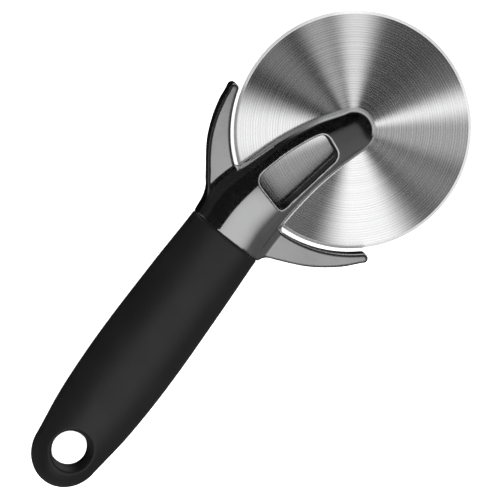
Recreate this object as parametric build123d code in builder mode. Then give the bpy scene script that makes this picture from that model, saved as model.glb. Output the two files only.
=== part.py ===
"""Hand pizza cutter: a steel wheel on a one-sided cast arm, with a finger guard and a soft grip."""
from build123d import *
import os
from math import copysign, cos, degrees, radians, sin, tau

# Driving dimensions, in millimetres and degrees
# The origin is the middle of the hanging hole, +X runs to the wheel's axis, +Z is the arm's side
reach = 180.2
wheel_radius = 50.8
wheel_thickness = 1.2
wheel_bevel_width = 1.3
wheel_edge_thickness = 0.2

# Grip and casting form
grip_width = 37.4
grip_thickness = 24.2
grip_heading = 5.6
butt_length = 17.7
seam_setback_share = 1.35
seam_lean = 3.0
hub_radius = 10.1
hub_heading = -19.0

# Arm and window
arm_underside = 2.0
window_draft_width = 1.0

# Finger guard
guard_gap = 1.8
guard_thickness = 10.0
guard_tip_share = 0.075
guard_round_share = 0.44
guard_axis_angle = 169.0
guard_tip_angle = 57.4

# Hanging hole, its radii as shares of the grip's width
hang_hole_share = 0.21
hang_mouth_share = 0.249
hang_land_length = 7.7

# Soft sleeve, rigid core and tang
sleeve_wall = 2.2
liner_wall = 1.3
tang_length = 55.0
tang_width = 13.0
tang_thickness = 7.0
tang_clearance = 0.1
rivet_radius = 1.6
rivet_length = 17.0
rivet_head_radius = 3.2
rivet_head_height = 1.2
rivet_place_shares = (0.25, 0.77)

# Axle stack
axle_radius = 3.0
axle_running_clearance = 0.05
axle_end_play = 0.05
axle_bore_clearance = 0.05
bush_spigot_radius = 5.0
bush_flange_radius = 7.6
bush_flange_thickness = 0.8
washer_radius = 6.8
screw_radius = 2.0
screw_grip_depth = 4.6
screw_hole_spare = 0.6
screw_head_radius = 5.6
screw_head_height = 2.4
screw_head_rim_height = 0.6
screw_socket_radius = 1.7
screw_socket_depth = 1.4

overrun_length = 1.0

# Form stations as shares: along the reach, side, width and thickness of the grip,
# then heading in degrees and how square the section is
form_shares = (
    (0.000, 0.000, 0.813, 0.860, 5.6, 2.4),
    (0.105, 0.050, 0.941, 0.901, 5.6, 2.4),
    (0.261, 0.123, 1.000, 0.975, 5.6, 2.4),
    (0.466, 0.219, 0.960, 1.000, 5.6, 2.4),
    (0.619, 0.289, 0.896, 0.967, 4.0, 2.4),
    (0.688, 0.328, 0.923, 0.959, 0.0, 2.5),
    (0.777, 0.290, 0.823, 0.925, -6.0, 2.6),
    (0.860, 0.229, 0.739, 0.865, -11.0, 2.8),
    (0.943, 0.121, 0.643, 0.775, -16.0, 3.0),
    (1.000, 0.010, 0.545, 0.700, -19.0, 3.0),
)
form_steps = 22
steps_past_seam = 2
butt_cap_angles = (82, 66, 52, 39, 26, 13)
hub_cap_angles = (25, 45, 60, 72, 80)
butt_cap_fullness = 0.55
hub_cap_fullness = 0.4
section_points = 16

# Window corners as shares of the arm's length and the grip's width, and their rounds
window_corner_shares = ((0.336, 0.035), (0.828, -0.059), (0.882, 0.259), (0.382, 0.503))
window_bulge_shares = (0.636, 0.428)
window_round_shares = (0.075, 0.120, 0.105, 0.120)

# Guard outline as shares of the wheel's radius, each with its angle from the guard's axis
guard_upper_shares = ((1.207, 36.0), (1.281, 20.0), (1.365, 11.6), (1.422, 10.1))
guard_lower_shares = ((1.194, 35.0), (1.258, 21.2), (1.278, 18.5), (1.325, 16.0))

hang_hole_radius = hang_hole_share * grip_width
hang_mouth_radius = hang_mouth_share * grip_width
seam_distance = reach - seam_setback_share * wheel_radius
seam_step = int(seam_distance / reach * form_steps) + 1
wheel_half = wheel_thickness / 2
bush_face = wheel_half + bush_flange_thickness
wheel_axis = Axis((reach, 0, 0), (0, 0, 1))
wheel_plane = Plane(origin=(reach, 0, 0), x_dir=(1, 0, 0), z_dir=(0, -1, 0))


def along_grip(distance, side):
    """A point at a distance from the hanging hole along the grip's axis, and to the left of it."""
    angle = radians(grip_heading)
    return (distance * cos(angle) - side * sin(angle), distance * sin(angle) + side * cos(angle))


def around_wheel(radius, angle):
    return (reach + radius * cos(radians(angle)), radius * sin(radians(angle)))


seam_point = along_grip(seam_distance, 0)
seam_normal = (cos(radians(seam_lean)), sin(radians(seam_lean)), 0)
seam_plane = Plane(origin=(*seam_point, 0), x_dir=(0, 0, 1), z_dir=seam_normal)
arm_length = reach - seam_point[0]


def form_row(share):
    """A smooth row of the form's table at any share of the reach."""
    row = 0
    while row < len(form_shares) - 2 and share > form_shares[row + 1][0]:
        row += 1
    start, end = form_shares[row], form_shares[row + 1]
    before = form_shares[max(row - 1, 0)]
    after = form_shares[min(row + 2, len(form_shares) - 1)]
    step = end[0] - start[0]
    t = (share - start[0]) / step
    values = []
    for a, b, c, d in zip(before[1:], start[1:], end[1:], after[1:]):
        slope_in = (c - a) / (end[0] - before[0]) * step
        slope_out = (d - b) / (after[0] - start[0]) * step
        value = (2 * t**3 - 3 * t**2 + 1) * b + (t**3 - 2 * t**2 + t) * slope_in
        value += (3 * t**2 - 2 * t**3) * c + (t**3 - t**2) * slope_out
        values.append(value)
    return values


def form_section(point, heading, half_width, half_height, squareness):
    """A rounded oval section across the form, started at its lowest point."""
    along = Vector(1, 0).rotate(Axis.Z, heading)
    points = []
    for index in range(section_points):
        angle = tau * (index / section_points - 1 / 4)
        across = copysign(abs(cos(angle)) ** (2 / squareness), cos(angle))
        up = copysign(abs(sin(angle)) ** (2 / squareness), sin(angle))
        points.append((half_width * across, half_height * up))
    with BuildSketch(Plane(origin=point, x_dir=along.rotate(Axis.Z, 90), z_dir=along)) as section:
        with BuildLine():
            Spline(*points, periodic=True)
        make_face()
    return section.sketch.face()


def form_station(index, inset):
    side, width, thickness, heading, squareness = form_row(index / form_steps)
    point = (index / form_steps * reach, side * grip_width)
    half_width = grip_width / 2 * width - inset
    half_height = grip_thickness / 2 * thickness - inset
    return (point, heading, half_width, half_height, squareness)


def cap_section(station, point, angle, fullness):
    """A section of a rounded end, drawn in as the angle nears a right angle."""
    _, heading, half_width, half_height, squareness = station
    shrink = cos(radians(angle))
    return form_section(point, heading, half_width * shrink, half_height * shrink**fullness, squareness)


def grip_form(inset):
    """The rounded form of the grip, from its butt to a little past the seam."""
    start = form_station(0, inset)
    sections = []
    for angle in butt_cap_angles:
        point = along_grip(-(butt_length - inset) * sin(radians(angle)), 0)
        sections.append(cap_section(start, point, angle, butt_cap_fullness))
    steps = range(seam_step + steps_past_seam + 1)
    sections += [form_section(*form_station(index, inset)) for index in steps]
    with BuildPart() as form:
        loft(sections)
        split(bisect_by=seam_plane, keep=Keep.BOTTOM)
    return form.part


def arm_form():
    """The rounded form of neck and arm, from the seam to the nose of the hub."""
    steps = range(seam_step - steps_past_seam, form_steps + 1)
    sections = [form_section(*form_station(index, 0)) for index in steps]
    end = form_station(form_steps, 0)
    for angle in hub_cap_angles:
        beyond = around_wheel(hub_radius * sin(radians(angle)), hub_heading)
        sections.append(cap_section(end, (beyond[0], end[0][1] + beyond[1]), angle, hub_cap_fullness))
    with BuildPart() as form:
        loft(sections)
        split(bisect_by=seam_plane, keep=Keep.TOP)
    return form.part


def along_arm(shares):
    return (seam_point[0] + shares[0] * arm_length, shares[1] * grip_width)


def window_outline():
    """The window in the arm: four rounded corners and a bowed upper edge."""
    low_near, low_far, high_far, high_near = (along_arm(shares) for shares in window_corner_shares)
    with BuildSketch() as outline:
        with BuildLine():
            Line(low_near, low_far)
            Line(low_far, high_far)
            ThreePointArc(high_far, along_arm(window_bulge_shares), high_near)
            Line(high_near, low_near)
        make_face()
        for corner, share in zip(window_corner_shares, window_round_shares):
            fillet(outline.vertices().sort_by_distance(along_arm(corner))[0], radius=share * grip_width)
    return outline.sketch


def window_cutter():
    with BuildPart() as cutter:
        with BuildSketch(Plane.XY.offset(arm_underside - overrun_length)):
            add(window_outline())
            offset(amount=-window_draft_width)
        with BuildSketch(Plane.XY.offset(grip_thickness / 2)):
            add(window_outline())
        loft()
    return cutter.part


def guard_point(radius, angle):
    return around_wheel(radius, guard_axis_angle + angle)


def guard_course(angle, way):
    """The direction round the wheel at an angle from the guard's axis."""
    turn = radians(guard_axis_angle + angle)
    return (-way * sin(turn), way * cos(turn))


def root_course(points):
    """The direction in which a wing's outline runs into the neck."""
    (x, y), (far_x, far_y) = points[-2:]
    return (far_x - x, far_y - y)


def finger_guard():
    """A crescent plate concentric with the wheel, with a wing on each side of the neck."""
    inner = wheel_radius + guard_gap
    tip_width = guard_tip_share * wheel_radius
    outer = inner + tip_width
    middle = (inner + outer) / 2
    tip_angle = guard_tip_angle + degrees(tip_width / 2 / middle)
    upper = [guard_point(s * wheel_radius, -a) for s, a in guard_upper_shares]
    lower = [guard_point(s * wheel_radius, a) for s, a in guard_lower_shares]
    with BuildPart() as guard:
        with BuildSketch(Plane.XY.offset(-guard_thickness / 2)):
            with BuildLine():
                inner_upper = guard_point(inner, -guard_tip_angle)
                inner_lower = guard_point(inner, guard_tip_angle)
                outer_upper = guard_point(outer, -guard_tip_angle)
                outer_lower = guard_point(outer, guard_tip_angle)
                ThreePointArc(inner_lower, guard_point(inner, 0), inner_upper)
                ThreePointArc(inner_upper, guard_point(middle, -tip_angle), outer_upper)
                Spline(outer_upper, *upper, tangents=(guard_course(-guard_tip_angle, 1), root_course(upper)))
                Line(upper[-1], lower[-1])
                Spline(outer_lower, *lower, tangents=(guard_course(guard_tip_angle, -1), root_course(lower)))
                ThreePointArc(outer_lower, guard_point(middle, tip_angle), inner_lower)
            make_face()
        extrude(amount=guard_thickness)
        flats = guard.faces().filter_by(Axis.Z)
        fillet(flats.edges(), radius=guard_round_share * tip_width)
    return guard.part


rivet_points = [along_grip(seam_distance - share * tang_length, 0) for share in rivet_place_shares]


def tang_bar(clearance):
    """The flat bar behind the neck, and with a clearance the pocket that holds it."""
    with BuildPart() as bar:
        with Locations(Location((*along_grip(seam_distance + tang_width, 0), 0), (0, 0, grip_heading))):
            length = tang_length + tang_width + clearance
            width = tang_width + 2 * clearance
            Box(length, width, tang_thickness + 2 * clearance, align=(Align.MAX, Align.CENTER, Align.CENTER))
    return bar.part


def turned(points, plane, axis):
    """A solid of revolution from points given as radius and height."""
    with BuildPart() as piece:
        with BuildSketch(plane):
            with BuildLine():
                Polyline(*points, close=True)
            make_face()
        revolve(axis=axis)
    return piece.part


def ring(inner, outer, bottom, top):
    """A plain ring about the wheel's axis."""
    points = ((inner, bottom), (outer, bottom), (outer, top), (inner, top))
    return turned(points, wheel_plane, wheel_axis)


def body_casting():
    """Neck, arm, guard and tang, cast in one piece."""
    guard = finger_guard()
    with BuildPart() as casting:
        add(arm_form())
        add(tang_bar(0))
        with Locations(*rivet_points):
            Cylinder(rivet_radius, tang_thickness + overrun_length, mode=Mode.SUBTRACT)
        with Locations((reach, 0, arm_underside)):
            below = (Align.CENTER, Align.CENTER, Align.MAX)
            Cylinder(wheel_radius + guard_gap, grip_thickness, align=below, mode=Mode.SUBTRACT)
            above = (Align.CENTER, Align.CENTER, Align.MIN)
            Cylinder(screw_radius, screw_grip_depth + screw_hole_spare, align=above, mode=Mode.SUBTRACT)
        add(window_cutter(), mode=Mode.SUBTRACT)
    return casting.part + guard


def core_blank():
    """The rigid core under the soft sleeve, whole, with room for the hanging hole's lining."""
    with BuildPart() as blank:
        add(grip_form(sleeve_wall))
        Cylinder(hang_mouth_radius + liner_wall, 2 * grip_thickness, mode=Mode.SUBTRACT)
    return blank.part


def core_half(blank, keep):
    with BuildPart() as half:
        add(blank)
        add(tang_bar(tang_clearance), mode=Mode.SUBTRACT)
        with Locations(*rivet_points):
            Cylinder(rivet_radius, grip_thickness, mode=Mode.SUBTRACT)
        seat = rivet_length / 2 - rivet_head_height
        with Locations(*((*point, seat) for point in rivet_points)):
            Cylinder(
                rivet_head_radius,
                grip_thickness,
                align=(Align.CENTER, Align.CENTER, Align.MIN),
                mode=Mode.SUBTRACT,
            )
        with Locations(*((*point, -seat) for point in rivet_points)):
            Cylinder(
                rivet_head_radius,
                grip_thickness,
                align=(Align.CENTER, Align.CENTER, Align.MAX),
                mode=Mode.SUBTRACT,
            )
        split(bisect_by=Plane.XY, keep=keep)
    return half.part


def grip_sleeve(blank):
    """The soft outer skin, closed round the butt, with a flared tube through the hanging hole."""
    land = hang_land_length / 2
    mouth = form_row(0)[2] * grip_thickness / 2
    points = (
        (0, -mouth - overrun_length),
        (hang_mouth_radius, -mouth - overrun_length),
        (hang_mouth_radius, -mouth),
        (hang_hole_radius, -land),
        (hang_hole_radius, land),
        (hang_mouth_radius, mouth),
        (hang_mouth_radius, mouth + overrun_length),
        (0, mouth + overrun_length),
    )
    with BuildPart() as sleeve:
        add(grip_form(0))
        add(blank, mode=Mode.SUBTRACT)
        add(turned(points, Plane.XZ, Axis.Z), mode=Mode.SUBTRACT)
    return sleeve.part


def tang_rivets():
    half = rivet_length / 2
    neck = half - rivet_head_height
    points = (
        (0, -half),
        (rivet_head_radius, -half),
        (rivet_head_radius, -neck),
        (rivet_radius, -neck),
        (rivet_radius, neck),
        (rivet_head_radius, neck),
        (rivet_head_radius, half),
        (0, half),
    )
    with BuildPart() as rivets:
        for point in rivet_points:
            with BuildSketch(Plane(origin=(*point, 0), x_dir=(1, 0, 0), z_dir=(0, -1, 0))):
                with BuildLine():
                    Polyline(*points, close=True)
                make_face()
            revolve(axis=Axis((*point, 0), (0, 0, 1)))
    return rivets.part


def wheel():
    bevel = wheel_radius - wheel_bevel_width
    edge = wheel_edge_thickness / 2
    points = (
        (bush_spigot_radius, -wheel_half),
        (bevel, -wheel_half),
        (wheel_radius, -edge),
        (wheel_radius, edge),
        (bevel, wheel_half),
        (bush_spigot_radius, wheel_half),
    )
    return turned(points, wheel_plane, wheel_axis)


def bush_front():
    bore = axle_radius + axle_running_clearance
    points = (
        (bore, -wheel_half),
        (bush_spigot_radius, -wheel_half),
        (bush_spigot_radius, wheel_half),
        (bush_flange_radius, wheel_half),
        (bush_flange_radius, bush_face),
        (bore, bush_face),
    )
    return turned(points, wheel_plane, wheel_axis)


def axle_screw():
    """A domed screw from behind, through the sleeve and into the arm."""
    seat = -arm_underside
    rim = seat - screw_head_rim_height
    crown = seat - screw_head_height
    tip = arm_underside + screw_grip_depth
    dome_height = screw_head_height - screw_head_rim_height
    half_way = (screw_head_radius * sin(tau / 12), crown + dome_height * (1 - cos(tau / 12)))
    with BuildPart() as screw:
        with BuildSketch(wheel_plane):
            with BuildLine():
                Polyline((0, crown), (0, tip), (screw_radius, tip), (screw_radius, seat))
                Polyline((screw_radius, seat), (screw_head_radius, seat), (screw_head_radius, rim))
                ThreePointArc((screw_head_radius, rim), half_way, (0, crown))
            make_face()
        revolve(axis=wheel_axis)
        with BuildSketch(Plane(origin=(reach, 0, crown - overrun_length), z_dir=(0, 0, 1))):
            RegularPolygon(screw_socket_radius, 6)
        extrude(amount=screw_socket_depth + overrun_length, mode=Mode.SUBTRACT)
    return screw.part


def make_parts():
    bore = axle_radius + axle_running_clearance
    blank = core_blank()
    return {
        "body_casting": body_casting(),
        "grip_sleeve": grip_sleeve(blank),
        "core_front": core_half(blank, Keep.TOP),
        "core_back": core_half(blank, Keep.BOTTOM),
        "tang_rivets": tang_rivets(),
        "cutting_wheel": wheel(),
        "bush_front": bush_front(),
        "bush_back": ring(bore, bush_flange_radius, -bush_face, -wheel_half),
        "axle_sleeve": ring(screw_radius + axle_bore_clearance, axle_radius, -arm_underside, arm_underside),
        "front_washer": ring(
            bore, washer_radius, bush_face + axle_end_play, arm_underside - axle_end_play
        ),
        "back_washer": ring(
            bore, washer_radius, axle_end_play - arm_underside, -bush_face - axle_end_play
        ),
        "axle_screw": axle_screw(),
    }


os.makedirs("parts", exist_ok=True)
for name, piece in make_parts().items():
    piece.label = name
    export_step(piece, f"parts/{name}.step")
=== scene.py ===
from math import cos, pi, radians, sin

import bmesh
import bpy
import numpy as np
from mathutils import Matrix, Vector


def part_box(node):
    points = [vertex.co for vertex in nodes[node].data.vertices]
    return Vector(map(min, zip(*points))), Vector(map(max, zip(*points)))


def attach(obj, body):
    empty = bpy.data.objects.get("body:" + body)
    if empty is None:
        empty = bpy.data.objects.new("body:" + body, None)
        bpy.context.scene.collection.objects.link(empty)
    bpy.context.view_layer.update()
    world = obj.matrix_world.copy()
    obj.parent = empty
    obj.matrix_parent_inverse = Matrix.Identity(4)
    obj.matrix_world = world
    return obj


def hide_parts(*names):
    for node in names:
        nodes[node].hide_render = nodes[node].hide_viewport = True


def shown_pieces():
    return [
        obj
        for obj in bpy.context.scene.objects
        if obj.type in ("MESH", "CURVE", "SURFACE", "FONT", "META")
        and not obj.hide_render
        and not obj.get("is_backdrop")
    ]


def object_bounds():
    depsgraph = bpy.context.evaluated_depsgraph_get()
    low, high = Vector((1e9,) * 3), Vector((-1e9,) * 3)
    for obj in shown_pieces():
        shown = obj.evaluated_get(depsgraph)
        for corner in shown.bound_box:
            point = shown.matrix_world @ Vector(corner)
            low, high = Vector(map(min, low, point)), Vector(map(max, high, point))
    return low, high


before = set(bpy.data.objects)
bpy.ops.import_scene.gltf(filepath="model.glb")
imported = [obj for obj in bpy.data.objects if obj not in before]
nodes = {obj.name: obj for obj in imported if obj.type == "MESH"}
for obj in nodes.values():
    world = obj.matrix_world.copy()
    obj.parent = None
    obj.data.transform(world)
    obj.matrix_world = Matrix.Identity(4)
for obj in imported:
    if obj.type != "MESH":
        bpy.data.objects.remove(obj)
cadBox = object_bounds()
mm = 0.001
tiny = 1e-9  # so that nothing is divided by zero


# Small helpers for material nodes
def newMaterial(name):
    material = bpy.data.materials.new(name)
    material.use_nodes = True
    shader = material.node_tree.nodes["Principled BSDF"]
    return material, material.node_tree, shader


def addNode(tree, kind, inputs=None, **settings):
    node = tree.nodes.new(kind)
    for key, value in settings.items():
        setattr(node, key, value)
    for key, value in (inputs or {}).items():
        if isinstance(value, bpy.types.NodeSocket):
            tree.links.new(value, node.inputs[key])
        else:
            node.inputs[key].default_value = value
    return node


def maths(tree, operation, *values):
    return addNode(tree, "ShaderNodeMath", dict(enumerate(values)), operation=operation).outputs[0]


def vectorMaths(tree, operation, inputs):
    return addNode(tree, "ShaderNodeVectorMath", inputs, operation=operation).outputs[0]


def ramp(tree, factor, low, high, lowOut, highOut):
    inputs = {"Value": factor, "From Min": low, "From Max": high, "To Min": lowOut,
              "To Max": highOut}
    node = addNode(tree, "ShaderNodeMapRange", inputs, interpolation_type="SMOOTHSTEP")
    return node.outputs["Result"]


def swing(tree, factor, middle, below, above, low=0.3, high=0.7):
    # follows a noise, from a little below the middle value to a little above it
    return ramp(tree, factor, low, high, middle - below, middle + above)


def noise(tree, coordinates, scale, detail, roughness=0.5):
    inputs = {"Vector": coordinates, "Scale": scale, "Detail": detail, "Roughness": roughness}
    return addNode(tree, "ShaderNodeTexNoise", inputs).outputs["Fac"]


def objectPoint(tree):
    return tree.nodes.new("ShaderNodeTexCoord").outputs["Object"]


def axesOf(tree, vector):
    return addNode(tree, "ShaderNodeSeparateXYZ", {0: vector}).outputs


def marked(tree, name):
    # a value that the shaping code left on each point of the mesh
    return addNode(tree, "ShaderNodeAttribute", attribute_name=name).outputs["Fac"]


def blend(tree, factor, first, second):
    colours = [colour if isinstance(colour, bpy.types.NodeSocket) else (*colour, 1)
               for colour in (first, second)]
    inputs = {"Factor": factor, "A": colours[0], "B": colours[1]}
    return addNode(tree, "ShaderNodeMix", inputs, data_type="RGBA").outputs["Result"]


def bump(tree, shader, height, strength, distance):
    inputs = {"Height": height, "Strength": strength, "Distance": distance}
    node = addNode(tree, "ShaderNodeBump", inputs)
    tree.links.new(node.outputs["Normal"], shader.inputs["Normal"])


def dress(piece, material):
    piece.data.materials.clear()
    piece.data.materials.append(material)


# The rounded form of grip, neck and arm in mm, which the casting and the grip share
body = {
    "reach": 180.2, "gripWidth": 37.4, "gripThickness": 24.2, "gripHeading": 5.6,
    "seamDistance": 111.62, "seamLean": 3.0,
    "buttRadius": 15.0, "buttCentre": -1.0, "buttLength": 16.7, "buttBlend": (0.3, 6.5),
    "hubRadius": 10.2, "hubCentre": -0.1, "hubBlend": (-0.5, 4.5),
    "walks": 5, "endShare": 0.02, "leastHalf": 1.0, "leastSlope": 0.02,
    "rows": np.array((
        # share of the reach, side, width, thickness, heading, squareness
        (0.000, 0.000, 0.813, 0.860, 5.6, 2.4),
        (0.105, 0.050, 0.941, 0.901, 5.6, 2.4),
        (0.261, 0.123, 1.000, 0.975, 5.6, 2.4),
        (0.466, 0.219, 0.960, 1.000, 5.6, 2.4),
        (0.619, 0.289, 0.896, 0.967, 4.0, 2.8),
        (0.688, 0.328, 0.923, 0.959, 0.0, 2.6),
        (0.777, 0.290, 0.823, 0.925, -6.0, 2.8),
        (0.860, 0.229, 0.739, 0.865, -11.0, 2.9),
        (0.943, 0.121, 0.643, 0.775, -16.0, 3.0),
        (1.000, 0.010, 0.545, 0.700, -19.0, 3.0),
    )),
}
gripTurn, seamLean = radians(body["gripHeading"]), radians(body["seamLean"])
seam = body["seamDistance"] * np.array((cos(gripTurn), sin(gripTurn)))


def smoothBlend(value, low, high):
    t = np.clip((value - low) / (high - low), 0, 1)
    return t * t * (3 - 2 * t)


def smoothCurve(x, rows, slopes, at):
    # passes through each row at its own slope
    i = np.clip(np.searchsorted(x, at) - 1, 0, len(x) - 2)
    step = (x[i + 1] - x[i])[:, None]
    t = (at - x[i])[:, None] / step
    values = (2 * t**3 - 3 * t**2 + 1) * rows[i] + (t**3 - 2 * t**2 + t) * slopes[i] * step
    return values + (3 * t**2 - 2 * t**3) * rows[i + 1] + (t**3 - t**2) * slopes[i + 1] * step


def formAt(share):
    x, rows = body["rows"][:, 0], body["rows"][:, 1:]
    slopes = np.gradient(rows, x, axis=0)
    slopes[1:-1] = (rows[2:] - rows[:-2]) / (x[2:] - x[:-2])[:, None]
    return smoothCurve(x, rows, slopes, np.clip(share, 0, 1))


def formDistance(p, inset=0.0):
    reach, gripWidth, endShare = body["reach"], body["gripWidth"], body["endShare"]

    def seenFrom(share):
        side, width, thick, heading, square = formAt(share).T
        hx, hy = np.cos(np.radians(heading)), np.sin(np.radians(heading))
        dx, dy = p[:, 0] - share * reach, p[:, 1] - side * gripWidth
        return dx * hx + dy * hy, dy * hx - dx * hy, width, thick, square

    # walk along the middle line until it is level with the point
    share = np.clip(p[:, 0] / reach, 0, 1)
    for walk in range(body["walks"]):
        share = np.clip(share + seenFrom(share)[0] / reach, 0, 1)
    along, across, width, thick, square = seenFrom(share)
    # the width runs on straight beyond both ends, and the thickness beyond the hub
    first, last = formAt(np.array((0, endShare))), formAt(np.array((1 - endShare, 1)))
    firstSlope, lastSlope = (first[1] - first[0]) / endShare, (last[1] - last[0]) / endShare
    atButt, atHub, beyond = share <= 0, share >= 1, along / reach
    width = width + beyond * (firstSlope[1] * atButt + lastSlope[1] * atHub)
    thick = thick + beyond * lastSlope[2] * atHub
    halfWidth = np.maximum(gripWidth / 2 * width - inset, body["leastHalf"])
    halfThick = np.maximum(body["gripThickness"] / 2 * thick - inset, body["leastHalf"])
    # both ends turn into a round
    buttRadius, buttLength = body["buttRadius"] - inset, body["buttLength"] - inset
    butt = np.hypot(across / buttRadius, (along - body["buttCentre"]) / buttLength)
    hub = np.hypot(across, along - body["hubCentre"]) / body["hubRadius"]
    buttMix = smoothBlend(-along, *body["buttBlend"]) * atButt
    hubMix = smoothBlend(along, *body["hubBlend"]) * atHub
    plainMix = 1 - buttMix - hubMix
    rho = np.abs(across) / halfWidth * plainMix + butt * buttMix + hub * hubMix
    zeta = np.abs(p[:, 2]) / halfThick
    f = (rho**square + zeta**square) ** (1 / square) + tiny
    size = halfWidth * plainMix + buttRadius * buttMix + body["hubRadius"] * hubMix
    slope = np.hypot(rho ** (square - 1) / size, zeta ** (square - 1) / halfThick)
    return (f - 1) / np.maximum(slope * f ** (1 - square), body["leastSlope"])


def aheadOfSeam(p):
    return (p[:, 0] - seam[0]) * cos(seamLean) + (p[:, 1] - seam[1]) * sin(seamLean)


# Distances in mm, negative inside, are joined with a fillet or cut with a rounded edge
def joined(a, b, fillet):
    corner = np.hypot(np.maximum(fillet - a, 0), np.maximum(fillet - b, 0))
    return np.maximum(fillet, np.minimum(a, b)) - corner


def common(a, b, edge):
    return -joined(-a, -b, edge)


def outlineDistance(x, y, outline):
    best = np.full(x.shape, np.inf)
    inside = np.zeros(x.shape, bool)
    for (ax, ay), (bx, by) in zip(outline, np.roll(outline, -1, axis=0)):
        ex, ey = bx - ax, by - ay
        t = np.clip(((x - ax) * ex + (y - ay) * ey) / (ex * ex + ey * ey), 0, 1)
        best = np.minimum(best, (x - ax - t * ex) ** 2 + (y - ay - t * ey) ** 2)
        if ay != by:
            inside ^= ((ay > y) != (by > y)) & (x < ax + (y - ay) / (by - ay) * ex)
    return np.where(inside, -1, 1) * np.sqrt(best)


def boxDistance(q, half, edge):
    outside = np.abs(q) - np.array(half) + edge
    beyond = np.linalg.norm(np.maximum(outside, 0), axis=1)
    return beyond + np.minimum(outside.max(axis=1), 0) - edge


def roundedCorners(points, radii, steps):
    # a closed outline, drawn round by a curve towards each corner
    outline = []
    for i, (corner, radius) in enumerate(zip(points, radii)):
        before, after = points[i - 1], points[(i + 1) % len(points)]
        start = corner + (before - corner) * radius / np.linalg.norm(before - corner)
        end = corner + (after - corner) * radius / np.linalg.norm(after - corner)
        for t in np.linspace(0, 1, steps):
            outline.append((1 - t) ** 2 * start + 2 * t * (1 - t) * corner + t * t * end)
    return np.array(outline)


# A skin is even quads round a CAD node, whose points are walked onto a smooth surface
walking = {"rounds": 5, "evenRounds": 3, "evenShare": 0.6, "longestStep": 1.0,
           "leastSteepness": 0.25, "probe": 0.02}


def gradientOf(distance, p, probe):
    columns = []
    for axis in range(3):
        shift = np.zeros(3)
        shift[axis] = probe
        columns.append((distance(p + shift) - distance(p - shift)) / (2 * probe))
    return np.stack(columns, axis=1)


def pointsOf(mesh):
    p = np.empty(len(mesh.vertices) * 3)
    mesh.vertices.foreach_get("co", p)
    return p.reshape(-1, 3) / mm


def skin(name, source, distance, voxel):
    piece = bpy.data.objects.new(name, nodes[source].data.copy())
    bpy.context.scene.collection.objects.link(piece)
    remesh = piece.modifiers.new("even", "REMESH")
    remesh.mode = "VOXEL"
    remesh.voxel_size = voxel * mm
    remesh.use_smooth_shade = True
    graph = bpy.context.evaluated_depsgraph_get()
    even = bpy.data.meshes.new_from_object(piece.evaluated_get(graph))
    piece.modifiers.clear()
    piece.data = even
    p = pointsOf(even)
    count = len(p)
    edges = np.empty(len(even.edges) * 2, int)
    even.edges.foreach_get("vertices", edges)
    a, b = edges.reshape(-1, 2).T
    links = np.bincount(a, minlength=count) + np.bincount(b, minlength=count)
    for turn in range(walking["rounds"] + walking["evenRounds"]):
        if turn < walking["evenRounds"]:
            middle = np.stack([np.bincount(a, p[b, axis], count) + np.bincount(b, p[a, axis], count)
                               for axis in range(3)], axis=1) / links[:, None]
            p += walking["evenShare"] * (middle - p)
        g = gradientOf(distance, p, walking["probe"])
        steepness = np.maximum((g * g).sum(axis=1), walking["leastSteepness"])
        move = distance(p)[:, None] * g / steepness[:, None]
        length = np.maximum(np.linalg.norm(move, axis=1, keepdims=True), tiny)
        p -= move * np.minimum(1, walking["longestStep"] / length)
    even.vertices.foreach_set("co", (p * mm).ravel())
    even.update()
    print(f"{name}: {count} points, furthest from its surface {np.abs(distance(p)).max():.4f} mm")
    return piece


def mark(piece, name, values):
    piece.data.attributes.new(name, "FLOAT", "POINT").data.foreach_set("value", values)


# Casting: neck, arm with its window, hub end, finger guard and hidden tang
casting = {
    "underside": 2.0, "pocketRadius": 52.6, "pocketEdge": 0.5, "seamEdge": 0.5, "seamLap": 0.02,
    # corners and bulge as shares of the arm's length and of the grip's width
    "windowCorners": ((0.336, 0.035), (0.828, -0.059), (0.882, 0.259), (0.382, 0.503)),
    "windowBulge": (0.636, 0.428), "windowRounds": (0.075, 0.120, 0.105, 0.120),
    "bulgeBlend": (6.0, 14.0), "windowDraft": 0.09, "windowRim": 0.8, "windowBottom": -1.0,
    "windowMargin": 6.0, "cornerSteps": 14, "outlineStep": 0.6,
    # the wings' outer edges as shares of the wheel's radius, each with its angle in degrees
    "wheelRadius": 50.8, "guardHalf": 5.0, "guardAxis": 169.0, "guardTip": 57.4, "guardInner": 52.6,
    "tipShare": 0.08, "guardRound": 0.95, "guardFillet": 2.4, "guardFrom": 48.0, "guardBehind": 6.0,
    "upper": ((1.143, 50.6), (1.207, 36.0), (1.281, 20.0), (1.365, 11.6), (1.422, 10.1)),
    "lower": ((1.141, 49.3), (1.194, 35.0), (1.258, 21.2), (1.278, 18.5), (1.325, 16.0)),
    "wingSteps": 60, "tipSteps": 14, "innerSteps": 90,
    "tang": (55.0, 13.0, 7.0), "tangLap": 3.0, "tangEdge": 0.3,
    "rivetShares": (0.25, 0.77), "rivetRadius": 1.6, "screwRadius": 2.0, "screwTop": 7.2,
    "farAway": 20.0, "wallBlend": (0.25, 0.75), "guardBlend": (1.0, 3.0), "voxel": 0.5,
}


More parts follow.
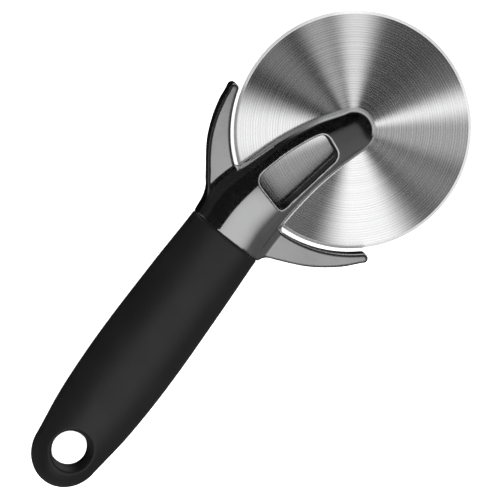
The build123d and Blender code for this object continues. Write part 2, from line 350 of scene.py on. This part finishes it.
def windowOutline(values):
    def place(share, side):
        return np.array((seam[0] + share * (body["reach"] - seam[0]), side * body["gripWidth"]))

    corners = [place(*corner) for corner in values["windowCorners"]]
    radii = [share * body["gripWidth"] for share in values["windowRounds"]]
    outline = roundedCorners(corners, radii, values["cornerSteps"])
    dense = []
    for start, end in zip(outline, np.roll(outline, -1, axis=0)):
        parts = max(int(np.linalg.norm(end - start) / values["outlineStep"]), 1)
        dense += [start + (end - start) * i / parts for i in range(parts)]
    dense = np.array(dense)
    # the long upper edge is bowed between its two corners
    near, far = corners[3], corners[2]
    edge = far - near
    rise = np.array((-edge[1], edge[0])) / np.linalg.norm(edge)
    height = (place(*values["windowBulge"]) - near) @ rise
    share = np.clip(((dense - near) @ edge) / (edge @ edge), 0, 1)
    top = smoothBlend((dense - corners[0]) @ rise, *values["bulgeBlend"])
    return dense + rise * (top * height * 4 * share * (1 - share))[:, None]


def guardOutline(values):
    radius, inner, tipAngle = values["wheelRadius"], values["guardInner"], values["guardTip"]
    width = values["tipShare"] * radius
    half = width / 2
    middle = inner + half

    def at(r, angle):
        turn = np.radians(values["guardAxis"] + angle)
        return np.array((body["reach"] + r * np.cos(turn), r * np.sin(turn)))

    def wing(shares, way):
        # from the tip's outer corner to the neck
        outer = [(share * radius, angle) for share, angle in shares]
        rows = np.array([(inner + width, tipAngle)] + outer)
        steps = np.hypot(np.diff(rows[:, 0]), np.diff(np.radians(rows[:, 1])) * middle)
        chord = np.concatenate(([0], np.cumsum(steps)))
        chord /= chord[-1]
        slopes = np.gradient(rows, chord, axis=0)
        slopes[0, 0] = 0
        curve = smoothCurve(chord, rows, slopes, np.linspace(0, 1, values["wingSteps"]))
        return [at(r, way * angle) for r, angle in curve]

    def tip(way):
        turns = np.linspace(0, pi, values["tipSteps"])[1:-1]
        angles = tipAngle + np.degrees(half * np.sin(turns) / middle)
        return [at(middle - half * np.cos(t), way * angle) for t, angle in zip(turns, angles)]

    inside = [at(inner, angle) for angle in np.linspace(tipAngle, -tipAngle, values["innerSteps"])]
    upper, lower = wing(values["upper"], -1), wing(values["lower"], 1)
    return np.array(inside + tip(-1) + upper + lower[::-1] + tip(1)[::-1])


windowLine = windowOutline(casting)
guardLine = guardOutline(casting)


def nearOutline(p, near, outline):
    away = np.full(len(p), casting["farAway"])
    away[near] = outlineDistance(p[near, 0], p[near, 1], outline)
    return away


def windowDistance(p):
    # the window is a little wider at the top
    x, y, z = p.T
    margin = casting["windowMargin"]
    (left, low), (right, high) = windowLine.min(axis=0) - margin, windowLine.max(axis=0) + margin
    near = (x > left) & (x < right) & (y > low) & (y < high) & (z > casting["windowBottom"])
    draft = casting["windowDraft"] * (body["gripThickness"] / 2 - z)
    return nearOutline(p, near, windowLine) + draft


def guardDistance(p, fromAxis, behind):
    # a crescent with round edges
    edge = casting["guardRound"]
    near = (fromAxis > casting["guardFrom"]) & (behind < casting["guardBehind"])
    u = nearOutline(p, near, guardLine) + edge
    v = np.abs(p[:, 2]) - casting["guardHalf"] + edge
    return np.minimum(np.maximum(u, v), 0) + np.hypot(np.maximum(u, 0), np.maximum(v, 0)) - edge


def tangDistance(p):
    # a flat bar behind the seam, with its rivet holes
    (length, width, thick), lap = casting["tang"], casting["tangLap"]
    x, y = p[:, 0] - seam[0], p[:, 1] - seam[1]
    u, v = x * cos(gripTurn) + y * sin(gripTurn), y * cos(gripTurn) - x * sin(gripTurn)
    fromMiddle = np.stack((u + length / 2 - lap, v, p[:, 2]), axis=1)
    d = boxDistance(fromMiddle, (length / 2 + lap, width / 2, thick / 2), casting["tangEdge"])
    for share in casting["rivetShares"]:
        d = np.maximum(d, casting["rivetRadius"] - np.hypot(u + share * length, v))
    return d


def castingDistance(p):
    values = casting
    fromAxis = np.hypot(p[:, 0] - body["reach"], p[:, 1])
    behind = -aheadOfSeam(p)
    d = common(formDistance(p), behind, values["seamEdge"])
    d = joined(d, guardDistance(p, fromAxis, behind), values["guardFillet"])
    d = np.maximum(d, behind - values["seamLap"])
    d = np.minimum(d, tangDistance(p))
    # room for the wheel under the arm, then the screw's hole
    wheelRoom = np.maximum(p[:, 2] - values["underside"], fromAxis - values["pocketRadius"])
    d = common(d, -wheelRoom, values["pocketEdge"])
    screw = np.maximum(fromAxis - values["screwRadius"], p[:, 2] - values["screwTop"])
    d = np.maximum(d, -screw)
    return common(d, -windowDistance(p), values["windowRim"])


castPiece = skin("casting", "body_casting", castingDistance, casting["voxel"])
castPoints = pointsOf(castPiece.data)
# mask for painted shade on the window's wall, where the material turns the metal near black
mark(castPiece, "windowWallShade", 1 - smoothBlend(windowDistance(castPoints), *casting["wallBlend"]))
# mask for the guard's face: painted shade as a darker metal colour, plus a rougher finish
mark(castPiece, "guardFace", smoothBlend(formDistance(castPoints), *casting["guardBlend"]))
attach(castPiece, "handle")
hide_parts("body_casting")

# Soft grip with its flared hanging hole
sleeve = {"wall": 2.2, "holeRadius": 7.854, "land": 3.85, "mouthRadius": 9.31, "mouthHeight": 10.4,
          "liner": 1.3, "rim": 1.0, "seamEdge": 0.6, "voxel": 0.7}


def sleeveDistance(p):
    values = sleeve
    radius, height = np.hypot(p[:, 0], p[:, 1]), np.abs(p[:, 2])
    d = common(formDistance(p), aheadOfSeam(p), values["seamEdge"])
    rise = values["mouthHeight"] - values["land"]
    flare = (values["mouthRadius"] - values["holeRadius"]) / rise
    hole = values["holeRadius"] + flare * np.maximum(height - values["land"], 0) - radius
    d = common(d, hole, values["rim"])
    liner = values["mouthRadius"] + values["liner"] - radius
    core = np.maximum(formDistance(p, values["wall"]), liner)
    return np.maximum(d, -core)


gripPiece = skin("grip", "grip_sleeve", sleeveDistance, sleeve["voxel"])
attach(gripPiece, "handle")
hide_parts("grip_sleeve")
print("casting and grip are shaped")

# Polished cast metal, rougher on the guard, with painted shade: a darker copy of the metal on the
# guard, and a near-black, rough, barely reflecting window wall
castFinish = {
    "light": (0.80, 0.80, 0.805), "dark": (0.72, 0.72, 0.725), "broadScale": 60,
    "roughness": 0.05, "wear": 0.03, "wearScale": 900,
    "orangePeel": 0.04, "peelScale": 250, "peelDepth": 0.05 * mm,
    # painted shade: the window's wall gets a near-black, rough, non-metallic finish in place of its
    # shadow and dark reflections
    "wall": (0.003, 0.003, 0.003), "wallDull": 0.4, "wallSpecular": 0.05,
    # painted shade: the guard's colours are a darker copy of the polished metal, for its dimmer
    # reflection; guardDull makes it rougher too
    "guardShadedLight": (0.68, 0.68, 0.685), "guardShadedDark": (0.46, 0.46, 0.465), "guardDull": 0.1,
}


def castMetal(values):
    material, tree, shader = newMaterial("castMetal")
    point = objectPoint(tree)
    broad = noise(tree, point, values["broadScale"], detail=3)
    fine = noise(tree, point, values["wearScale"], detail=3)
    wall, guard = marked(tree, "windowWallShade"), marked(tree, "guardFace")
    metal = blend(tree, broad, values["dark"], values["light"])
    # painted shade: the window's wall is coloured near black
    metal = blend(tree, wall, metal, values["wall"])
    # painted shade: a darker copy of the metal colour on the guard
    shadedGuardMetal = blend(tree, broad, values["guardShadedDark"], values["guardShadedLight"])
    tree.links.new(blend(tree, guard, metal, shadedGuardMetal), shader.inputs["Base Color"])
    polish = swing(tree, fine, values["roughness"], 0, values["wear"])
    polish = maths(tree, "ADD", polish, maths(tree, "MULTIPLY", guard, values["guardDull"]))
    polish = maths(tree, "ADD", polish, maths(tree, "MULTIPLY", wall, values["wallDull"]))
    tree.links.new(polish, shader.inputs["Roughness"])
    # painted shade: the window's wall loses its metal reflection, with only a faint specular left
    tree.links.new(maths(tree, "SUBTRACT", 1.0, wall), shader.inputs["Metallic"])
    shader.inputs["Specular IOR Level"].default_value = values["wallSpecular"]
    peel = noise(tree, point, values["peelScale"], detail=2)
    bump(tree, shader, peel, values["orangePeel"], values["peelDepth"])
    return material


# Spun steel of the wheel, with turned grooves and a lighter, duller ground edge
wheelFinish = {
    "light": (0.80, 0.80, 0.80), "dark": (0.56, 0.56, 0.565), "roughness": 0.2, "roughSwing": 0.02,
    "anisotropy": 1.0, "grainTurn": 0.25, "ringScale": 1700.0, "ringDrift": 0.2,
    "pitch": 1.05, "waveShare": 0.18, "groove": 0.055, "grooveDepth": 0.02 * mm, "grooveLean": 0.2,
    "edgeRadius": 49.4, "edgeBlend": 0.15, "edgeMetal": 0.6,
}


def spunSteel(values):
    material, tree, shader = newMaterial("spunSteel")
    low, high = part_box("cutting_wheel")
    centre = [(a + b) / 2 for a, b in zip(low, high)]
    point = vectorMaths(tree, "SUBTRACT", {0: objectPoint(tree), 1: centre})
    x, y, z = axesOf(tree, point)
    squares = maths(tree, "ADD", maths(tree, "MULTIPLY", x, x), maths(tree, "MULTIPLY", y, y))
    radius, angle = maths(tree, "SQRT", squares), maths(tree, "ARCTAN2", y, x)
    # rings: noise that changes fast along the radius and slowly round the wheel, on an even wave
    ringPoint = addNode(tree, "ShaderNodeCombineXYZ", {
        0: maths(tree, "MULTIPLY", radius, values["ringScale"]),
        1: maths(tree, "MULTIPLY", maths(tree, "SINE", angle), values["ringDrift"]),
        2: maths(tree, "MULTIPLY", maths(tree, "COSINE", angle), values["ringDrift"])}).outputs[0]
    wave = maths(tree, "SINE", maths(tree, "MULTIPLY", radius, 2 * pi / (values["pitch"] * mm)))
    rings = maths(tree, "ADD", noise(tree, ringPoint, 1.0, detail=1),
                  maths(tree, "MULTIPLY", wave, values["waveShare"]))
    tree.links.new(blend(tree, rings, values["dark"], values["light"]), shader.inputs["Base Color"])
    edge, edgeEnd = values["edgeRadius"] * mm, (values["edgeRadius"] + values["edgeBlend"]) * mm
    metal = ramp(tree, radius, edge, edgeEnd, 1, values["edgeMetal"])
    tree.links.new(metal, shader.inputs["Metallic"])
    polish = swing(tree, rings, values["roughness"], values["roughSwing"], values["roughSwing"])
    tree.links.new(polish, shader.inputs["Roughness"])
    shader.inputs["Anisotropic"].default_value = values["anisotropy"]
    shader.inputs["Anisotropic Rotation"].default_value = values["grainTurn"]
    tangent = addNode(tree, "ShaderNodeTangent", direction_type="RADIAL", axis="Z")
    tree.links.new(tangent.outputs[0], shader.inputs["Tangent"])
    # the grooves lean outwards, so each side of the wheel mirrors its own side of the studio
    outward = vectorMaths(tree, "MULTIPLY", {0: point, 1: (1, 1, 0)})
    outward = vectorMaths(tree, "NORMALIZE", {0: outward})
    lean = vectorMaths(tree, "SCALE", {0: outward, "Scale": values["grooveLean"]})
    grooves = addNode(tree, "ShaderNodeBump", {"Height": rings, "Strength": values["groove"],
                                               "Distance": values["grooveDepth"]})
    tilted = vectorMaths(tree, "ADD", {0: grooves.outputs[0], 1: lean})
    tree.links.new(vectorMaths(tree, "NORMALIZE", {0: tilted}), shader.inputs["Normal"])
    return material


# Matt black rubber with a fine grain
gripFinish = {
    "colour": (0.0006, 0.0006, 0.0006), "worn": (0.0013, 0.0013, 0.0012), "wornScale": 70,
    "roughness": 0.45, "smoother": 0.03, "rougher": 0.04, "specular": 0.85,
    "grain": 0.25, "grainScale": 2600, "grainDepth": 0.06 * mm,
}


def softRubber(values):
    material, tree, shader = newMaterial("softRubber")
    point = objectPoint(tree)
    broad = noise(tree, point, values["wornScale"], detail=4)
    grain = noise(tree, point, values["grainScale"], detail=2)
    colour = blend(tree, broad, values["colour"], values["worn"])
    tree.links.new(colour, shader.inputs["Base Color"])
    dullness = swing(tree, broad, values["roughness"], values["smoother"], values["rougher"])
    tree.links.new(dullness, shader.inputs["Roughness"])
    shader.inputs["Specular IOR Level"].default_value = values["specular"]
    bump(tree, shader, grain, values["grain"], values["grainDepth"])
    return material


# Plastics and pin steel inside the tool
coreFinish = {
    "dark": (0.01, 0.01, 0.01), "light": (0.016, 0.016, 0.016), "colourScale": 120, "metallic": 0,
    "roughness": 0.5, "smoother": 0.05, "rougher": 0.05, "dullScale": 700,
    "texture": 0.1, "textureScale": 3000, "textureDepth": 0.03 * mm,
}
bushFinish = dict(coreFinish, dark=(0.40, 0.395, 0.38), light=(0.45, 0.445, 0.43), roughness=0.4)
pinFinish = {
    "dark": (0.52, 0.52, 0.53), "light": (0.68, 0.68, 0.68), "colourScale": 300, "metallic": 1,
    "roughness": 0.28, "smoother": 0.05, "rougher": 0.08, "dullScale": 1500,
    "texture": 0.08, "textureScale": 1200, "textureDepth": 0.03 * mm,
}


def insideMaterial(name, values):
    material, tree, shader = newMaterial(name)
    point = objectPoint(tree)
    broad = noise(tree, point, values["colourScale"], detail=3)
    tree.links.new(blend(tree, broad, values["dark"], values["light"]), shader.inputs["Base Color"])
    shader.inputs["Metallic"].default_value = values["metallic"]
    dull = noise(tree, point, values["dullScale"], detail=2)
    dullness = swing(tree, dull, values["roughness"], values["smoother"], values["rougher"])
    tree.links.new(dullness, shader.inputs["Roughness"])
    texture = noise(tree, point, values["textureScale"], detail=2)
    bump(tree, shader, texture, values["texture"], values["textureDepth"])
    return material


for material, names in (
        (castMetal(castFinish), ("body_casting",)),
        (spunSteel(wheelFinish), ("cutting_wheel",)),
        (softRubber(gripFinish), ("grip_sleeve",)),
        (insideMaterial("corePlastic", coreFinish), ("core_front", "core_back")),
        (insideMaterial("bushPlastic", bushFinish),
         ("bush_front", "bush_back", "front_washer", "back_washer")),
        (insideMaterial("pinSteel", pinFinish), ("tang_rivets", "axle_sleeve", "axle_screw"))):
    for name in names:
        dress(nodes[name], material)
dress(castPiece, nodes["body_casting"].data.materials[0])
dress(gripPiece, nodes["grip_sleeve"].data.materials[0])
print("finishes are on the metal, rubber and plastic nodes")

# Camera at the photo's angle
view = {"lean": 12.0, "leanTowards": 82.0, "roll": 48.2345, "lens": 425.72, "sensor": 36,
        "target": (113.34 * mm, -1.46 * mm, 0.0), "distance": 2.5}


def addCamera(values):
    lean, towards, roll = (radians(values[key]) for key in ("lean", "leanTowards", "roll"))
    back = Vector((cos(towards) * sin(lean), sin(towards) * sin(lean), cos(lean)))
    along = Vector((1, 0, 0))
    along = (along - back * along.dot(back)).normalized()
    across = back.cross(along)
    right = cos(roll) * along - sin(roll) * across
    up = sin(roll) * along + cos(roll) * across
    data = bpy.data.cameras.new("photoCamera")
    data.lens = values["lens"]
    data.sensor_width = values["sensor"]
    camera = bpy.data.objects.new("photoCamera", data)
    bpy.context.scene.collection.objects.link(camera)
    turn = Matrix((right, up, back)).transposed().to_4x4()
    place = Vector(values["target"]) + back * values["distance"]
    camera.matrix_world = Matrix.Translation(place) @ turn
    bpy.context.scene.camera = camera


addCamera(view)

# Pale floor just under the part
floorValues = {
    "size": 6.0, "drop": 0.3 * mm, "colour": (0.93, 0.93, 0.93), "mottle": (0.90, 0.90, 0.90),
    "mottleScale": 4, "roughness": 0.9, "specular": 0.1, "lift": 0.8,
}


def stagePiece(name, points, faces):
    mesh = bpy.data.meshes.new(name)
    shape = bmesh.new()
    verts = [shape.verts.new(point) for point in points]
    for face in faces:
        shape.faces.new([verts[i] for i in face])
    shape.to_mesh(mesh)
    shape.free()
    piece = bpy.data.objects.new(name, mesh)
    bpy.context.scene.collection.objects.link(piece)
    piece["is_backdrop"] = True
    return piece


def flatPiece(name, left, right, low, high, height):
    corners = ((left, low), (right, low), (right, high), (left, high))
    return stagePiece(name, [(x, y, height) for x, y in corners], ((0, 1, 2, 3),))


def addFloor(values):
    half = values["size"] / 2
    floor = flatPiece("floor", -half, half, -half, half, cadBox[0][2] - values["drop"])
    material, tree, shader = newMaterial("paleFloor")
    broad = noise(tree, objectPoint(tree), values["mottleScale"], detail=2)
    colour = blend(tree, broad, values["mottle"], values["colour"])
    tree.links.new(colour, shader.inputs["Base Color"])
    shader.inputs["Roughness"].default_value = values["roughness"]
    shader.inputs["Specular IOR Level"].default_value = values["specular"]
    shader.inputs["Emission Color"].default_value = (1, 1, 1, 1)
    shader.inputs["Emission Strength"].default_value = values["lift"]
    floor.data.materials.append(material)
    floor.visible_glossy = False


addFloor(floorValues)

# Studio cards hang over the part and are seen only in its gloss
cards = {
    "height": 0.35,
    "box": {"x": (-0.45, 0.158), "fadeX": 0.022, "y": (-0.75, 0.017), "fadeY": 0.0015,
            "fall": (-0.36, -0.07), "low": 0.01, "level": 0.52},
    # soft streaks in a ring, for the fan of light on the wheel
    "ring": {
        "middle": (0.170, -0.074), "half": 0.55, "above": 1.0 * mm,
        "streaks": (
            # azimuth, flat half width and outer half width in degrees, then the level
            (-126, 10, 31, 1.40), (-80, 2, 12, 0.12), (-56, 3, 15, 0.36), (-36.5, 0, 12, 1.3),
            (-30, 0, 28, 0.10), (38, 2, 17, 0.98), (60, 2, 12, 0.42), (86, 3, 14, 0.18),
            (130, 8, 27, 1.30), (160, 6, 22, 0.34), (-172, 4, 26, 0.10),
        ),
    },
    # a low wall that only the wheel mirrors, for the views from lower down
    "wall": {"radius": 0.6, "low": 0.02, "high": 0.36, "sides": 64,
             "level": 0.42, "waves": 5, "swing": 0.4},
}


def glowing(name, piece, strength, receivers):
    material = bpy.data.materials.new(name)
    material.use_nodes = True
    tree = material.node_tree
    tree.nodes.clear()
    # a card lets rays through too, so it hides no other card from the pieces it doesn't light
    light = addNode(tree, "ShaderNodeEmission", {"Color": (1, 1, 1, 1), "Strength": strength(tree)})
    through = addNode(tree, "ShaderNodeBsdfTransparent")
    both = addNode(tree, "ShaderNodeAddShader", {0: light.outputs[0], 1: through.outputs[0]})
    addNode(tree, "ShaderNodeOutputMaterial", {0: both.outputs[0]})
    piece.data.materials.append(material)
    piece.visible_camera = piece.visible_diffuse = piece.visible_shadow = False
    piece.visible_transmission = False
    piece.light_linking.receiver_collection = receivers


def lightGroup(name, members):
    group = bpy.data.collections.new(name)
    for member in members:
        group.objects.link(member)
    return group


def addSoftBox(box, height, receivers):
    (left, right), (low, high) = box["x"], box["y"]
    fadeX, fadeY = box["fadeX"], box["fadeY"]

    def strength(tree):
        x, y, z = axesOf(tree, objectPoint(tree))
        fall = ramp(tree, y, *box["fall"], box["low"], box["level"])
        side = ramp(tree, x, right - fadeX, right + fadeX, 1, 0)
        edge = ramp(tree, y, high - fadeY, high + fadeY, 1, 0)
        return maths(tree, "MULTIPLY", maths(tree, "MULTIPLY", fall, side), edge)

    card = flatPiece("softBox", left, right + fadeX, low, high + fadeY, height)
    glowing("softBoxGlow", card, strength, receivers)


def addRing(ring, height, receivers):
    (mx, my), half = ring["middle"], ring["half"]

    def strength(tree):
        x, y, z = axesOf(tree, objectPoint(tree))
        fromX, fromY = maths(tree, "SUBTRACT", x, mx), maths(tree, "SUBTRACT", y, my)
        azimuth = maths(tree, "ARCTAN2", fromY, fromX)
        total = 0.0
        for centre, flat, outer, level in ring["streaks"]:
            turned = maths(tree, "COSINE", maths(tree, "SUBTRACT", azimuth, radians(centre)))
            away = maths(tree, "ARCCOSINE", turned)
            streak = ramp(tree, away, radians(flat), radians(outer), level, 0)
            total = maths(tree, "ADD", total, streak)
        return total

    card = flatPiece("ringCard", mx - half, mx + half, my - half, my + half, height + ring["above"])
    glowing("ringGlow", card, strength, receivers)


def addLowWall(wall, receivers):
    sides, radius = wall["sides"], wall["radius"]
    turns = [2 * pi * i / sides for i in range(sides)]
    points = [(radius * cos(a), radius * sin(a), z)
              for z in (wall["low"], wall["high"]) for a in turns]
    faces = [(i, (i + 1) % sides, sides + (i + 1) % sides, sides + i) for i in range(sides)]

    def strength(tree):
        x, y, z = axesOf(tree, objectPoint(tree))
        azimuth = maths(tree, "ARCTAN2", y, x)
        wave = maths(tree, "SINE", maths(tree, "MULTIPLY", azimuth, wall["waves"]))
        wave = maths(tree, "ADD", 1.0, maths(tree, "MULTIPLY", wave, wall["swing"]))
        return maths(tree, "MULTIPLY", wave, wall["level"])

    glowing("wallGlow", stagePiece("lowWall", points, faces), strength, receivers)


def addCards(values):
    wheelOnly = lightGroup("wheelOnly", [nodes["cutting_wheel"]])
    allButWheel = lightGroup("allButWheel", [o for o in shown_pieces() if o != nodes["cutting_wheel"]])
    addSoftBox(values["box"], values["height"], allButWheel)
    addRing(values["ring"], values["height"], wheelOnly)
    addLowWall(values["wall"], wheelOnly)


addCards(cards)

# Even light for matt surfaces, and a dark room for whatever is glossy
studio = {
    "plain": 2.0, "darkSide": 0.003, "lightSide": 0.05, "turn": (-0.12, 0.02),
    "top": (-0.25, -0.08, 0.045), "topTurn": (-0.2, 0.0), "endSide": (0.05, 0.45), "endLevel": 0.05,
    "glow": (0.74, 0.86, 0.01),
    # a lit horizon at both ends of the part, for the views from lower down
    "horizon": {"rise": (0.06, 0.34), "right": (0.35, 0.6, 0.5), "left": (-0.6, -0.35, 0.08)},
}


def addStudio(values):
    world = bpy.data.worlds.new("studio")
    bpy.context.scene.world = world
    world.use_nodes = True
    tree = world.node_tree
    tree.nodes.clear()
    x, y, z = axesOf(tree, tree.nodes.new("ShaderNodeTexCoord").outputs["Generated"])
    total = ramp(tree, y, *values["turn"], values["lightSide"], values["darkSide"])
    low, high, level = values["top"]
    top = ramp(tree, x, low, high, 0, level)
    top = maths(tree, "MULTIPLY", top, ramp(tree, y, *values["topTurn"], 1, 0))
    total = maths(tree, "ADD", total, top)
    total = maths(tree, "MULTIPLY", total, ramp(tree, x, *values["endSide"], 1, values["endLevel"]))
    low, high, level = values["glow"]
    total = maths(tree, "ADD", total, ramp(tree, y, low, high, 0, level))
    horizon = values["horizon"]
    low, high, level = horizon["right"]
    right = ramp(tree, x, low, high, 0, level)
    low, high, level = horizon["left"]
    left = ramp(tree, x, low, high, level, 0)
    ends = maths(tree, "ADD", right, left)
    ends = maths(tree, "MULTIPLY", ends, ramp(tree, z, *horizon["rise"], 1, 0))
    total = maths(tree, "ADD", total, ends)
    gloss = addNode(tree, "ShaderNodeBackground", {"Color": total})
    plain = addNode(tree, "ShaderNodeBackground", {"Color": (values["plain"],) * 3 + (1,)})
    path = tree.nodes.new("ShaderNodeLightPath")
    mixed = addNode(tree, "ShaderNodeMixShader", {0: path.outputs["Is Glossy Ray"],
                                                  1: plain.outputs[0], 2: gloss.outputs[0]})
    addNode(tree, "ShaderNodeOutputWorld", {0: mixed.outputs[0]})


addStudio(studio)
bpy.context.scene.view_settings.view_transform = "Standard"
print("camera, floor and studio are set")
